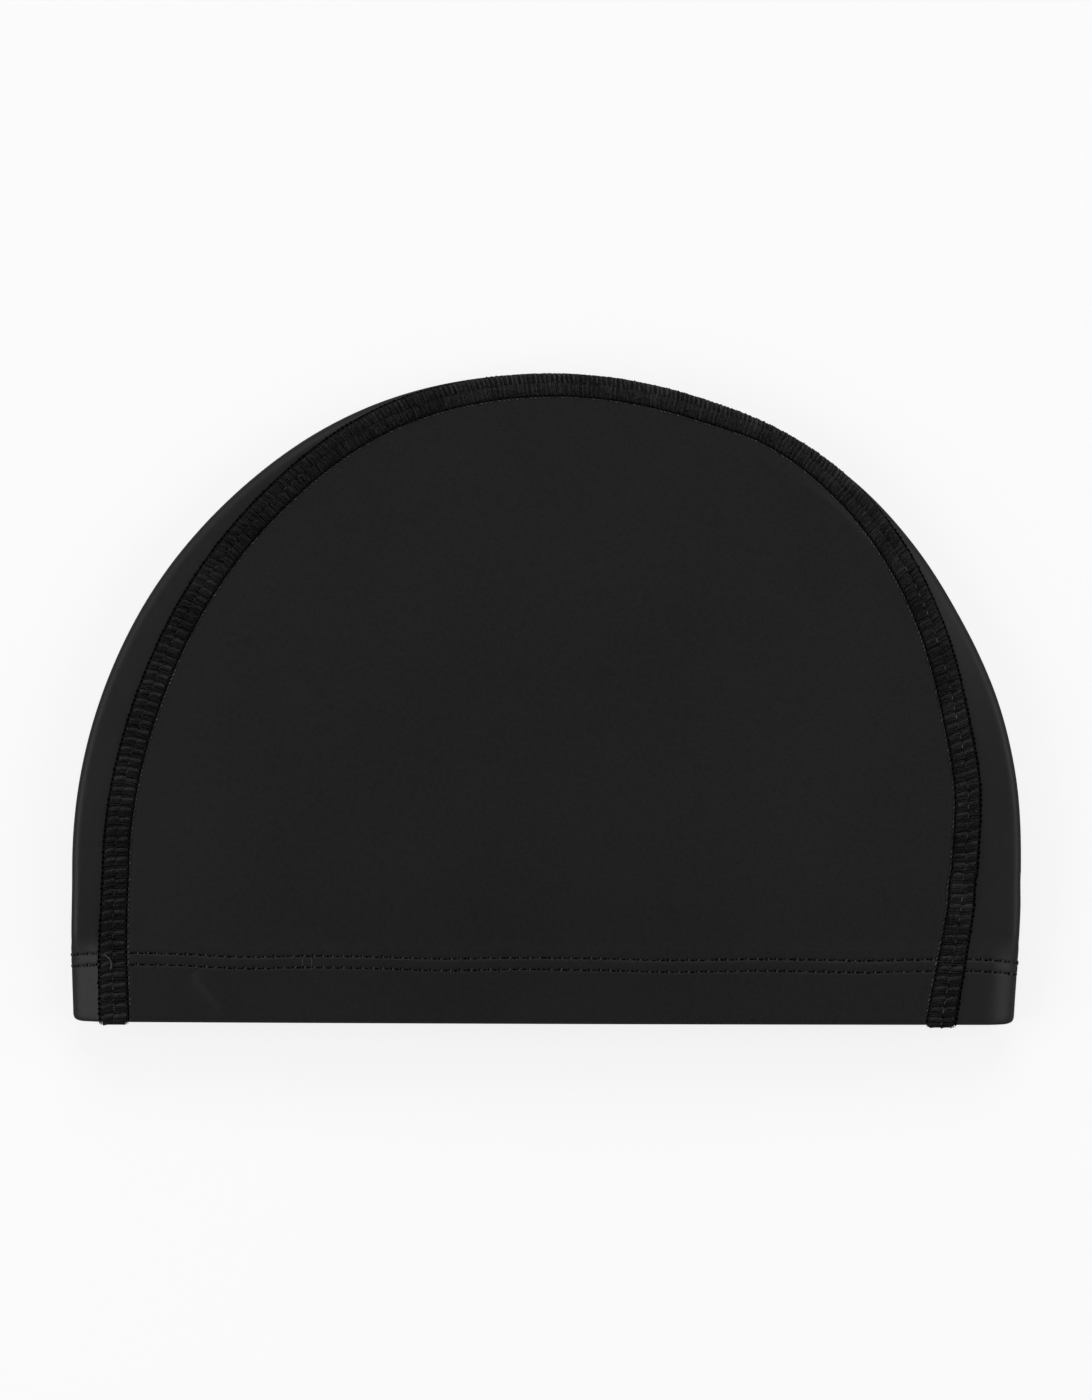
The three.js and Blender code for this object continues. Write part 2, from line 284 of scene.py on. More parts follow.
class CapShape:
    """The cloth's face in the row frame. A place on it is a turn round the outline and a distance along the
    cloth, which is 0 on the fold, positive over the top and negative underneath."""

    def __init__(self, scene):
        self.form = scene.cap_form
        self.seam = scene.cap_seam
        self.hem = scene.cap_hem
        self.shift = np.zeros(3)
        folds = self.point(np.linspace(-1, 2, 1500), 0.0, 0.0)
        lowest = self.point(np.array(2.0), 0.0, self.form.cad_bend)
        aside = (CAD_LOW.x + CAD_HIGH.x - folds[:, 0].min() - folds[:, 0].max()) / 2
        self.shift = np.array([aside, CAD_LOW.y - lowest[1], CAD_LOW.z])

    def edge(self, turn):
        """The way inwards from the outline, how far it is to the middle, and the height over the mouth."""
        angle = np.pi * np.clip(turn, 0, 1)
        half = self.form.cap_width / 2
        reach = np.stack([-half * np.cos(angle), self.form.crown_rise * np.sin(angle)], -1)
        plain = np.linalg.norm(reach, axis=-1)
        span = plain + read_rows(EDGE, "turn", "bulge", turn) * self.form.cap_width
        height = self.form.side_height * np.where(turn < 0, 1 + turn, np.where(turn > 1, 2 - turn, 1))
        return -reach / plain[..., None], span, height

    def shoulder(self, turn):
        """Radius with which the fold turns onto the upper side."""
        in_crown = np.sin(np.pi * np.clip(turn, 0, 1)) ** 2
        return self.form.side_shoulder + (self.form.shoulder - self.form.side_shoulder) * in_crown

    def section(self, turn, span, height, along):
        """Distance in from the outline, and height off the table. The upper fold goes straight up and then
        round a shoulder that is tighter than the model's plain fold."""
        form = self.form
        over = along >= 0
        shoulder = self.shoulder(turn)
        upright = np.where(over, form.upper_fold - shoulder, 0)
        fold = np.where(over, shoulder, form.under_fold)
        walked = np.maximum(np.abs(along) - upright, 0) / fold
        round_part = walked < np.pi / 2
        distance = fold * np.where(round_part, 1 - np.cos(walked), 1 + walked - np.pi / 2)
        lift = np.minimum(np.abs(along), upright) + fold * np.where(round_part, np.sin(walked), 1.0)
        ease = smooth_step(height, 0, form.side_height)
        rise = form.dome_rise - form.mouth_drop * (1 - ease)
        dome = rise * np.sin(np.pi / 2 * distance / span)
        lift = form.under_fold + np.where(over, lift + dome, -lift)
        facet = np.where(turn < 0.5, form.left_facet, form.right_facet)
        below, above = 4 * MM, 5 * MM
        in_hem = 1 - smooth_step(height, form.hem_height - below, form.hem_height + above)
        slope = np.clip(1 - distance / form.facet_reach, 0, 1) ** np.where(turn < 0.5, 1, 2)
        side_slope = np.clip(1 - distance / form.side_reach, 0, 1)
        side_turn, side_spread = 0.79, 0.06
        on_side = bell(turn - side_turn, side_spread)
        lift = lift * (1 - facet * in_hem * slope) * (1 - form.side_facet * on_side * side_slope)
        short = np.clip(form.corner - height, 0, form.corner)
        pull = form.corner - np.sqrt(form.corner**2 - short**2)
        return distance + pull * (1 - smooth_step(distance, 0, 4 * form.corner)), lift

    def point(self, turn, along, inset):
        """Points at an inset below the cloth's face. The three arguments broadcast."""
        turn, along, inset = np.broadcast_arrays(turn, along, inset)
        inward, span, height = self.edge(turn)
        nudge = 0.01 * MM
        distance, lift = self.section(turn, span, height, along)
        ahead, lift_ahead = self.section(turn, span, height, along + nudge)
        behind, lift_behind = self.section(turn, span, height, along - nudge)
        tangent = np.stack([ahead - behind, lift_ahead - lift_behind], -1)
        tangent /= np.linalg.norm(tangent, axis=-1, keepdims=True)
        distance = distance + tangent[..., 1] * inset
        lift = lift - tangent[..., 0] * inset
        plan = inward * (distance - span)[..., None]
        slant = self.form.mouth_slant * (1 - smooth_step(height, 0, self.form.side_height))
        across = plan[..., 0]
        upwards = height + plan[..., 1] - slant * across / self.form.cap_width
        gap = self.form.floor_gap
        lift = np.where(lift < gap, gap * np.exp(np.minimum(lift, gap) / gap - 1), lift)
        return np.stack([across, upwards, lift], -1) + self.shift

    def seam_middle(self, turn):
        """Distance of the seam's middle along the cloth, at the same plan place as in the model."""
        plain = self.seam.reach * read_rows(EDGE, "turn", "reach", turn)
        fold, shoulder = self.form.upper_fold, self.shoulder(turn)
        straight = fold * (np.pi / 2 - 1)
        distance = np.where(plain < fold * np.pi / 2, fold * (1 - np.cos(plain / fold)), plain - straight)
        on_shoulder = shoulder * np.arccos(np.clip(1 - distance / shoulder, -1, 1))
        past_it = distance + shoulder * (np.pi / 2 - 1)
        return fold - shoulder + np.where(distance < shoulder, on_shoulder, past_it)

    def middle_of_top(self, turn):
        fold, shoulder = self.form.upper_fold, self.shoulder(turn)
        return self.edge(turn)[1] + fold - shoulder + shoulder * (np.pi / 2 - 1)

    def middle_of_under(self, turn):
        return self.edge(turn)[1] + self.form.under_fold * (np.pi / 2 - 1)

    def along_at(self, turn, across):
        """Distance along the cloth of the place on a mouth row that lies so far from the cap's middle."""
        return self.middle_of_top(turn) - np.abs(across)

    def left_turn(self, height):
        """The turn of a place on the left side at a height over the mouth."""
        return height / self.form.side_height - 1

    def right_turn(self, height):
        return 2 - height / self.form.side_height

    def stitch_height(self, across):
        """Height of the upper row of hem stitches, at a distance from the cap's middle."""
        place = across / (self.form.cap_width / 2)
        return self.hem.height * read_rows(STITCH, "across", "height", place)

    def relief(self, turn, along):
        """How far the cloth stands out from its plain face: hem rows, tucks at the seam, soft waves."""
        place = self.point(turn, along, 0.0) - self.shift
        height = self.edge(turn)[2]
        upper = self.stitch_height(place[..., 0])
        gauge = self.hem.gauge
        groove_width, ridge_width = 0.22 * MM, 0.75 * MM
        grooves = bell(height - upper, groove_width) + bell(height - upper + gauge, groove_width)
        ridge = bell(height - upper + gauge / 2, ridge_width)
        rows = self.hem.ridge * ridge - self.hem.sink * grooves
        hem_step = 0.14 * MM
        fade = 1.6 * MM
        thick = hem_step * (1 - smooth_step(height, self.form.hem_height, self.form.hem_height + fade))
        tuck, tuck_length = 0.09 * MM, 0.5 * MM
        offset = along - self.seam_middle(turn)
        beside = np.abs(offset) - self.seam.width / 2
        tucks = -tuck * np.exp(-np.maximum(beside, 0) / tuck_length)
        line_depth, line_place, line_width = 0.13 * MM, 0.95 * MM, 0.2 * MM
        low_down = 1 - np.sin(np.pi * np.clip(turn, 0, 1)) ** 0.5
        tucks = tucks - line_depth * low_down * bell(beside - line_place, line_width) * (offset > 0)
        x, y = place[..., 0], place[..., 1]
        # Lengths in metres and phases that never meet again on the cap
        waves = (
            np.sin(x / 0.019 + 1.3 * np.sin(y / 0.034))
            + 0.7 * np.sin(y / 0.023 - 0.8 * np.sin(x / 0.041) + 2.0)
            + 0.5 * np.sin((x + y) / 0.012 + 0.6)
        )
        return rows + thick + tucks + self.form.wave * waves + self.crease(place)

    def crease(self, place):
        """A faint diagonal crease at the left of the hem, on the upper side."""
        start, end = np.array([-84.8, 12.4]) * MM, np.array([-75.8, 2.4]) * MM
        depth, width = 0.45 * MM, 1.3 * MM
        run = end - start
        offset = place[..., :2] - start
        share_of_run = np.clip((offset @ run) / (run @ run), 0, 1)
        gap = np.linalg.norm(offset - share_of_run[..., None] * run, axis=-1)
        on_top = smooth_step(place[..., 2], self.form.under_fold, 2 * self.form.under_fold)
        ends = np.sqrt(np.sin(np.pi * share_of_run))
        return depth * bell(gap, width) * on_top * ends

    def cloth(self, turn, along, above):
        """Points at a height above the cloth's face with its relief."""
        return self.point(turn, along, -above - self.relief(turn, along))


# Meshes


def finish_piece(piece, material_slot, *replaced):
    """Hands a finished piece to the frame: it rides on the cap's body and stands for the model's nodes."""
    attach(piece, BODY)
    if replaced:
        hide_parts(*replaced)


def add_object(name, data):
    item = bpy.data.objects.new(name, data)
    bpy.context.scene.collection.objects.link(item)
    return item


def close_up(mesh, mend, crease_degrees):
    """Mends a closed mesh, turns its faces outwards, and smooths all but its sharp edges."""
    solid = bmesh.new()
    solid.from_mesh(mesh)
    mend(solid)
    if solid.calc_volume(signed=True) < 0:
        bmesh.ops.reverse_faces(solid, faces=solid.faces)
    solid.to_mesh(mesh)
    solid.free()
    mesh.shade_smooth()
    mesh.set_sharp_from_angle(angle=math.radians(crease_degrees))


def tone_evenly(mesh, tone):
    """Gives a whole mesh the tone that its thread material reads."""
    tones = mesh.attributes.new("tone", "FLOAT", "POINT")
    tones.data.foreach_set("value", np.full(len(mesh.vertices), tone))


def mesh_from_grid(name, points, faces, flat, materials, face_materials):
    """An object from points, four-sided faces and flat places, with shared points merged."""
    mesh = bpy.data.meshes.new(name)
    mesh.from_pydata(points.tolist(), [], faces.tolist())
    uv = mesh.uv_layers.new(name="flat")
    corners = np.zeros(len(mesh.loops), int)
    mesh.loops.foreach_get("vertex_index", corners)
    uv.data.foreach_set("uv", flat[corners].astype(np.float32).ravel())
    for material in materials:
        mesh.materials.append(material)
    mesh.polygons.foreach_set("material_index", face_materials.astype(np.int32))

    def join_rims(solid):
        bmesh.ops.remove_doubles(solid, verts=solid.verts, dist=1e-6)

    close_up(mesh, join_rims, crease_degrees=50)
    return add_object(name, mesh)


def mouth_rows(shape, depth):
    """The rows up one side of the mouth at a depth into the cloth: down the hem that is turned up behind,
    round the fold at the mouth, and up the outside. Gives heights, insets and how much relief shows."""
    form = shape.form
    bend = form.wall + form.hem_gap / 2
    turned_up = np.linspace(form.hem_height, bend, 9)
    angle = np.linspace(np.pi, 0, 13)[1:-1]
    # Rows lie closest where the stitches' grooves are
    below, above = 1.6 * MM, 0.4 * MM
    rows_low = shape.hem.height - shape.hem.gauge - below
    rows_high = form.hem_height + above
    outside = np.r_[
        np.linspace(bend, rows_low, 16)[:-1],
        np.linspace(rows_low, rows_high, 30)[:-1],
        np.linspace(rows_high, form.side_height, 15)[:-1],
    ]
    heights = np.r_[turned_up, bend - (bend - depth) * np.sin(angle), outside]
    insets = np.r_[
        np.full(len(turned_up), 2 * bend - depth),
        bend - (bend - depth) * np.cos(angle),
        np.full(len(outside), depth),
    ]
    showing = np.r_[np.zeros(len(turned_up)), (1 + np.cos(angle)) / 2, np.ones(len(outside))]
    return heights, insets, showing


def panel_rows(shape, depth, stations=220):
    """Every row of a panel from the left of the mouth over the crown to the right, as turns, insets and
    how much relief shows."""
    heights, insets, showing = mouth_rows(shape, depth)
    arc = np.linspace(0, 1, stations)
    turns = np.r_[shape.left_turn(heights), arc, shape.right_turn(heights)[::-1]]
    insets = np.r_[insets, np.full(stations, depth), insets[::-1]]
    return turns, insets, np.r_[showing, np.ones(stations), showing[::-1]]


def flat_places(shape, turn, along, middle):
    """Where points of a panel lie on its flat cut, in metres from the middle of the mouth."""
    inward, _, height = shape.edge(turn)
    out = middle - np.abs(along)
    return np.stack([-inward[..., 0] * out, height - inward[..., 1] * out], -1)


def panel(shape, name, distances, middle, materials):
    """A panel of cloth with its hem turned up, from an outer and an inner material. distances(turn) lists
    its columns along the section, from the cut edge at the seam to the middle, where both sides meet."""
    skins, places = [], []
    for depth in (0.0, shape.form.wall):
        turns, insets, showing = panel_rows(shape, depth)
        turns = turns[:, None]
        along = distances(turns)
        relief = shape.relief(turns, along) * showing[:, None]
        skins.append(shape.point(turns, along, insets[:, None] - relief))
        places.append(flat_places(shape, turns, along, middle(turns)))
    points, flat = np.array(skins), np.array(places)
    _, rows, columns, _ = points.shape
    index = np.arange(2 * rows * columns).reshape(2, rows, columns)
    outside, inside = 0, 1
    quads, kinds = [], []

    def add(a, b, c, d, kind):
        quads.append(np.stack([a, b, c, d], -1).reshape(-1, 4))
        kinds.append(np.full(a.size, kind))

    face, back = index
    add(face[:-1, :-1], face[1:, :-1], face[1:, 1:], face[:-1, 1:], outside)
    add(back[:-1, :-1], back[:-1, 1:], back[1:, 1:], back[1:, :-1], inside)
    add(face[:-1, 0], back[:-1, 0], back[1:, 0], face[1:, 0], inside)
    add(face[0, :-1], face[0, 1:], back[0, 1:], back[0, :-1], inside)
    add(face[-1, :-1], back[-1, :-1], back[-1, 1:], face[-1, 1:], inside)
    faces, kinds = np.concatenate(quads), np.concatenate(kinds)
    return mesh_from_grid(name, points.reshape(-1, 3), faces, flat.reshape(-1, 2), materials, kinds)


def crowded(steps, power):
    """Shares from 0 to 1 that lie closer together near 0."""
    return np.linspace(0, 1, steps) ** power


# Threads are made straight by Geometry Nodes, with X along the row, Y across it and Z up off the cloth,
# and are then laid on the cloth.


class SeamRoute:
    """Where the flatlock seam runs, by its length along the cloth from the left end to the right one."""

    def __init__(self, shape, samples=6000):
        self.shape = shape
        tail = shape.seam.tail / shape.form.side_height
        spare = 0.1
        self.turns = np.linspace(-1 - tail - spare, 2 + tail + spare, samples)
        middle = shape.point(self.turns, shape.seam_middle(self.turns), 0.0)
        steps = np.linalg.norm(np.diff(middle, axis=0), axis=1)
        self.run = np.r_[0, np.cumsum(steps)]
        flatness = 0.7
        crown = np.sin(np.pi * np.clip(self.turns, 0, 1)) ** flatness
        pitch = shape.seam.end_pitch + (shape.seam.crown_pitch - shape.seam.end_pitch) * crown
        stitches = np.r_[0, np.cumsum(steps / ((pitch[1:] + pitch[:-1]) / 2))]
        first, last = np.interp([-1 - tail, 2 + tail], self.turns, stitches)
        self.stitches = int(round(last - first))
        self.stitch = (stitches - first) * self.stitches / (last - first)

    def flare(self, turn):
        """How wide the seam is at a turn, as a share of its plain width."""
        height = self.shape.edge(turn)[2]
        narrowing = smooth_step(height, 0, self.shape.form.side_height)
        past_mouth = np.clip(-height / self.shape.seam.tail, 0, 1)
        narrower = 0.09
        rounding = 1 - narrower * past_mouth**3
        return (1 + self.shape.seam.flare / self.shape.seam.width * (1 - narrowing)) * rounding

    def lay(self, straight, pitch, depth=None):
        """Lays straight threads along the seam. A stitch is one pitch long in the straight threads. With a
        depth they lie that far behind the plain face, inside the cap."""
        shape = self.shape
        turn = np.interp(straight[:, 0] / pitch, self.stitch, self.turns)
        across = -straight[:, 1] * self.flare(turn)
        small = 1e-4
        middle = shape.seam_middle(turn)
        drift = (shape.seam_middle(turn + small) - shape.seam_middle(turn - small)) / (2 * small)
        ahead = shape.point(turn + small, middle, 0.0) - shape.point(turn - small, middle, 0.0)
        pace = np.linalg.norm(ahead, axis=1) / (2 * small)
        whole = np.hypot(pace, drift)
        run = np.interp(turn, self.turns, self.run) - across * drift / whole
        turned = np.interp(run, self.run, self.turns)
        along = middle + across * pace / whole
        if depth is None:
            return shape.cloth(turned, along, straight[:, 2])
        return shape.point(turned, along, depth - straight[:, 2])


class HemRoute:
    """Where the hem's rows run, by the length from the middle of the upper side to the right, round the
    fold, back under the cap and round the left fold. Threads are laid from the middle of the under side."""

    def __init__(self, shape):
        self.shape = shape
        turn = np.array(shape.right_turn(shape.hem.height))
        self.top, self.under = float(shape.middle_of_top(turn)), float(shape.middle_of_under(turn))
        self.run = 2 * (self.top + self.under)

    def stitches(self, pitch):
        return int(round(self.run / pitch))

    def place(self, run, height):
        """Turn and distance along the cloth, at a length of the route and a height over the mouth."""
        shape = self.shape
        half = self.top + self.under
        right = run < half
        from_top = np.where(right, run, self.run - run)
        along = self.top - from_top
        return np.where(right, shape.right_turn(height), shape.left_turn(height)), along

    def lay(self, straight, depth=None):
        """Lays straight threads round the mouth. Their Y is 0 on the upper row and falls towards the
        mouth's edge. With a depth they lie that far behind the face, inside the cap, upside down."""
        shape = self.shape
        run = (straight[:, 0] + self.run / 2) % self.run
        turn, along = self.place(run, shape.hem.height)
        across = shape.point(turn, along, 0.0)[:, 0] - shape.shift[0]
        turn, along = self.place(run, shape.stitch_height(across) + straight[:, 1])
        if depth is None:
            return shape.cloth(turn, along, straight[:, 2])
        return shape.point(turn, along, depth + straight[:, 2])


class Output:
    """What a node puts out, for other nodes to take in and calculate with."""

    def __init__(self, wiring, socket):
        self.wiring, self.socket = wiring, socket

    def __rsub__(self, other):
        return self.wiring.math("SUBTRACT", other, self)

    def __rtruediv__(self, other):
        return self.wiring.math("DIVIDE", other, self)

    def split(self, width):
        """As an index: the row that it falls in, and its place in that row."""
        row = self.wiring.math("FLOOR", (self + 0.5) / width)
        return row, self - row * width


def calculation(operation):
    return lambda self, *others: self.wiring.math(operation, self, *others)


CALCULATIONS = {
    "__add__": "ADD",
    "__radd__": "ADD",
    "__sub__": "SUBTRACT",
    "__mul__": "MULTIPLY",
    "__rmul__": "MULTIPLY",
    "__truediv__": "DIVIDE",
    "__mod__": "MODULO",
    "__pow__": "POWER",
    "__gt__": "GREATER_THAN",
    "__lt__": "LESS_THAN",
    "__abs__": "ABSOLUTE",
    "sine": "SINE",
    "cosine": "COSINE",
}
for method, operation in CALCULATIONS.items():
    setattr(Output, method, calculation(operation))


class Wiring:
    """Adds and joins the nodes of one tree."""

    def __init__(self, tree):
        self.tree = tree

    def add(self, kind, inputs=None, output=0, **settings):
        """One output of a new node."""
        node = self.tree.nodes.new(kind)
        for name, value in settings.items():
            setattr(node, name, value)
        for key, value in (inputs or {}).items():
            if isinstance(value, Output):
                self.tree.links.new(value.socket, node.inputs[key])
            else:
                node.inputs[key].default_value = value
        return Output(self, node.outputs[output])

    def math(self, operation, *values):
        return self.add("ShaderNodeMath", dict(enumerate(values)), operation=operation)

    def vector(self, x, y, z):
        return self.add("ShaderNodeCombineXYZ", {0: x, 1: y, 2: z})

    def ramp(self, value, low, high, start=0.0, end=1.0):
        """A smooth change from start to end while a value goes from low to high."""
        limits = {"Value": value, "From Min": low, "From Max": high, "To Min": start, "To Max": end}
        return self.add("ShaderNodeMapRange", limits, interpolation_type="SMOOTHSTEP")


SOCKET_KINDS = {
    float: "NodeSocketFloat",
    int: "NodeSocketInt",
    tuple: "NodeSocketVector",
    type(None): "NodeSocketMaterial",
}


class Group(Wiring):
    """A new node group with one output. Inputs map a name to a default, which is None for a material."""

    def __init__(self, name, kind, inputs, output_type):
        super().__init__(bpy.data.node_groups.new(name, kind))
        for label, default in inputs.items():
            socket_type = SOCKET_KINDS[type(default)]
            socket = self.tree.interface.new_socket(label, in_out="INPUT", socket_type=socket_type)
            if default is not None:
                socket.default_value = default
        self.tree.interface.new_socket("Result", in_out="OUTPUT", socket_type=output_type)
        self.source = self.tree.nodes.new("NodeGroupInput")
        self.sink = self.tree.nodes.new("NodeGroupOutput")

    def __getitem__(self, name):
        return Output(self, self.source.outputs[name])

    def closed(self, result):
        """The tree, with its output joined."""
        self.tree.links.new(result.socket, self.sink.inputs[0])
        return self.tree


class ThreadTree(Group):
    """Geometry nodes that set out threads or beads in rows, with named counts, sizes and other numbers."""

    def __init__(self, name, counts, numbers, **defaults):
        inputs = dict.fromkeys(counts, 1) | dict.fromkeys(numbers, 0.0) | defaults
        inputs |= {"Seed": 1, "Material": None}
        super().__init__(name, "GeometryNodeTree", inputs, "NodeSocketGeometry")
        self.index = self.add("GeometryNodeInputIndex")

    def random(self, low, high, seed_step):
        """A random number for each element, from the tree's seed."""
        limits = {2: low, 3: high, "Seed": self["Seed"] + float(seed_step)}
        return self.add("FunctionNodeRandomValue", limits, 1, data_type="FLOAT")

    def factor(self):
        """The share of the way along a thread."""
        return self.add("GeometryNodeSplineParameter", output="Factor")

    def spun(self, points, sides, position):
        """A tube through a curve of so many points, which lie at a position that depends on the factor."""
        line = self.add("GeometryNodeCurvePrimitiveLine")
        fine = self.add("GeometryNodeResampleCurve", {"Curve": line, "Count": points})
        bent = self.add("GeometryNodeSetPosition", {"Geometry": fine, "Position": position})
        round_off = {"Resolution": sides, "Radius": self["ThreadRadius"]}
        ring = self.add("GeometryNodeCurvePrimitiveCircle", round_off)
        tube = {"Curve": bent, "Profile Curve": ring, "Fill Caps": True}
        return self.add("GeometryNodeSetShadeSmooth", {"Geometry": self.add("GeometryNodeCurveToMesh", tube)})

    def scattered(self, total, position, thread, tone, changes):
        """The tree that gives copies of a thread at indexed positions, as one mesh with a tone for each."""
        points = self.add("GeometryNodePoints", {"Count": total, "Position": position})
        stored = {"Geometry": points, "Name": "tone", "Value": tone}
        toned = self.add("GeometryNodeStoreNamedAttribute", stored, data_type="FLOAT", domain="POINT")
        copies = self.add("GeometryNodeInstanceOnPoints", {"Points": toned, "Instance": thread} | changes)
        real = self.add("GeometryNodeRealizeInstances", {"Geometry": copies})
        painted = {"Geometry": real, "Material": self["Material"]}
        return self.closed(self.add("GeometryNodeSetMaterial", painted))


# Where the crown's middle lies, as a share of the seam's length
CROWN_AT = 0.54


def strand_tree():
    """Threads that cross a row in columns, several to a stitch, each arched between its two needle lines.
    The first thread of a stitch, on the side away from the row's nearer end, is taut, and its lighter tone is
    a painted highlight; where the stitches stand apart the threads are darker, as painted shade between the
    bars. Over the crown the threads are spread evenly, and every other one is darker."""
    numbers = "Pitch Width Fill ThreadRadius Puff Slant Sag Lift Pillow BarTone Lean".split()
    w = ThreadTree("crossing_strands", ("Stitches", "Columns", "Strands"), numbers)
    # One thread across a column. Its arch is flatter than a sine's
    flatness = 0.6
    column_width = w["Width"] / w["Columns"]
    factor = w.factor()
    from_middle = factor - 0.5
    arch = (factor * math.pi).sine() ** flatness
    along = w["Slant"] * from_middle - factor**4.0 * w["Sag"]
    strand = w.spun(8, 5, w.vector(along, column_width * from_middle, w["Puff"] * arch))

    # Its place in the column, from 0 to 1 along the stitch
    each = w["Strands"] * w["Columns"]
    stitch, rest = w.index.split(each)
    column, strand_of = rest.split(w["Strands"])
    place = (strand_of + 0.5) / w["Strands"]
    off_middle = column - (w["Columns"] - 1.0) * 0.5

    # Clear is where the stitches stand apart, and taut is where their bars show with a painted highlight
    share_of_row = stitch / w["Stitches"]
    off_crown = abs(share_of_row - CROWN_AT)
    clear = w.ramp(off_crown, 0.05, 0.25)
    taut = w.ramp(off_crown, 0.2, 0.4)
    even = 1.0 - clear
    second_half = share_of_row > 0.5
    first_strand = place > 0.75
    last_strand = place < 0.25
    lead = (first_strand + (last_strand - first_strand) * second_half) * clear

    wobble = w.random(-0.04, 0.04, 0)
    spread_out = (place - 0.5) * (w["Fill"] * clear + even)
    along = stitch + 0.5 + spread_out + wobble
    raised = ((place * math.pi).sine() * clear + lead * 0.5) * w["Pillow"]
    origin = w.vector(
        along * w["Pitch"] + off_middle * w["Slant"],
        off_middle * column_width,
        w["Lift"] + (raised + wobble * w["Pitch"]),
    )
    # Tones are factors of the thread's colour. Darker is painted shade on the threads where the stitches
    # stand apart, and also darkens the ends of the seam's first half more than those of its second. Bars then
    # paint a highlight on the first thread of each stitch
    bars = lead * w["BarTone"] * taut
    ribs = (0.5 - strand_of % 2.0) * even * (1.5 + off_middle * 1.2)
    darker = clear * 0.65 + (taut - second_half * taut) * 0.4
    tone = (1.9 - darker) * w.random(0.75, 1.25, 7) + bars + ribs
    size = w.vector(1.0 + (lead * 0.6 + even * 0.3), 1.0, w.random(0.85, 1.1, 13))
    twist = w.random(-0.07, 0.07, 19) + off_middle * w["Lean"] + second_half * math.pi
    changes = {"Rotation": w.vector(0.0, 0.0, twist), "Scale": size}
    return w.scattered(w["Stitches"] * each, origin, strand, tone, changes)


def dash_tree():
    """Needle threads that run along a row, one to a stitch, with both ends drawn down into their holes."""
    numbers = "Pitch Gauge Reach ThreadRadius Arch Lift".split()
    w = ThreadTree("row_dashes", ("Stitches", "Rows"), numbers)
    from_middle = w.factor() - 0.5
    fall = from_middle * from_middle * 4.0 * w["Arch"]
    dash = w.spun(7, 6, w.vector(w["Pitch"] * w["Reach"] * from_middle, 0.0, fall * -1.0))

    row, stitch = w.index.split(w["Stitches"])
    along = stitch + 0.5 + w.random(-0.05, 0.05, 0)
    drift = w.random(-0.03, 0.03, 3) * w["Pitch"]
    origin = w.vector(along * w["Pitch"], drift - row * w["Gauge"], w["Lift"])
    thickness = w.random(0.7, 1.15, 11)
    size = w.vector(w.random(0.8, 1.04, 13), thickness, thickness)
    return w.scattered(w["Stitches"] * w["Rows"], origin, dash, w.random(0.7, 1.3, 7), {"Scale": size})


def bead_tree():
    """Rows of small long beads: pinched cloth between two stitches, dark beads at needle holes that carry
    painted shade, short ends of loops.
    """
    numbers = "Start Pitch Gauge Offset Fade Length Breadth Height Lift Lean".split()
    w = ThreadTree("bead_rows", ("Beads", "Rows"), numbers, CrownGap=-1.0, LeftTone=1.0)
    ball = w.add("GeometryNodeMeshUVSphere", {"Segments": 8, "Rings": 6, "Radius": 1.0})
    size = w.vector(w["Breadth"], w["Length"], w["Height"])
    pressed = w.add("GeometryNodeTransform", {"Geometry": ball, "Scale": size})
    smooth = w.add("GeometryNodeSetShadeSmooth", {"Geometry": pressed})

    row, bead = w.index.split(w["Beads"])
    along = (bead + w["Start"] + w.random(-0.08, 0.08, 0)) * w["Pitch"]
    origin = w.vector(along, w["Offset"] - row * w["Gauge"], w["Lift"])
    share_of_row = bead / w["Beads"]
    scale = w.random(0.5, 1.2, 9) * (1.0 - row * w["Fade"])
    tone = scale * (w["LeftTone"] + (1.0 - w["LeftTone"]) * (share_of_row > CROWN_AT))
    changes = {
        "Rotation": w.vector(0.0, 0.0, w["Lean"] * w.random(-1.3, -0.5, 5)),
        "Scale": w.vector(1.0, scale, scale),
        "Selection": abs(share_of_row - CROWN_AT) > w["CrownGap"],
    }
    return w.scattered(w["Beads"] * w["Rows"], origin, smooth, tone, changes)


def loop_tree():
    """Loops of thread that hook round the two long sides of the seam."""
    w = ThreadTree("edge_loops", ("Loops",), "Pitch Width Reach ThreadRadius Lift Fade".split())
    angle = w.factor() * math.pi
    hump = angle.sine()
    along = w["Pitch"] * 0.46 * (angle.cosine() * -1.0)
    loop = w.spun(8, 5, w.vector(along, w["Reach"] * (hump * 2.0 - 1.0), hump * w["ThreadRadius"] * 0.9))

    line, place = w.index.split(w["Loops"])
    side = line * 2.0 - 1.0
    along = (place + 0.5 + w.random(-0.08, 0.08, 0)) * w["Pitch"]
    origin = w.vector(along, side * w["Width"] * 0.5, w["Lift"])
    faded = 1.0 - (1.0 - line) * w["Fade"]
    changes = {
        "Rotation": w.vector(0.0, 0.0, (side < 0.0) * math.pi),
        "Scale": w.vector(1.0, faded, faded),
    }
    return w.scattered(w["Loops"] * 2.0, origin, loop, w.random(0.6, 1.6, 7), changes)


# Not 0, which would stand for the clock
RUFFLE_SEED = 5


def ruffled(straight, amount):
    """Straight threads whose points stray a little, as fluffed thread does."""
    size = 0.6 * MM
    noise.seed_set(RUFFLE_SEED)
    stray = np.array([noise.noise_vector(place) for place in (straight / size).tolist()])
    return straight + amount * stray


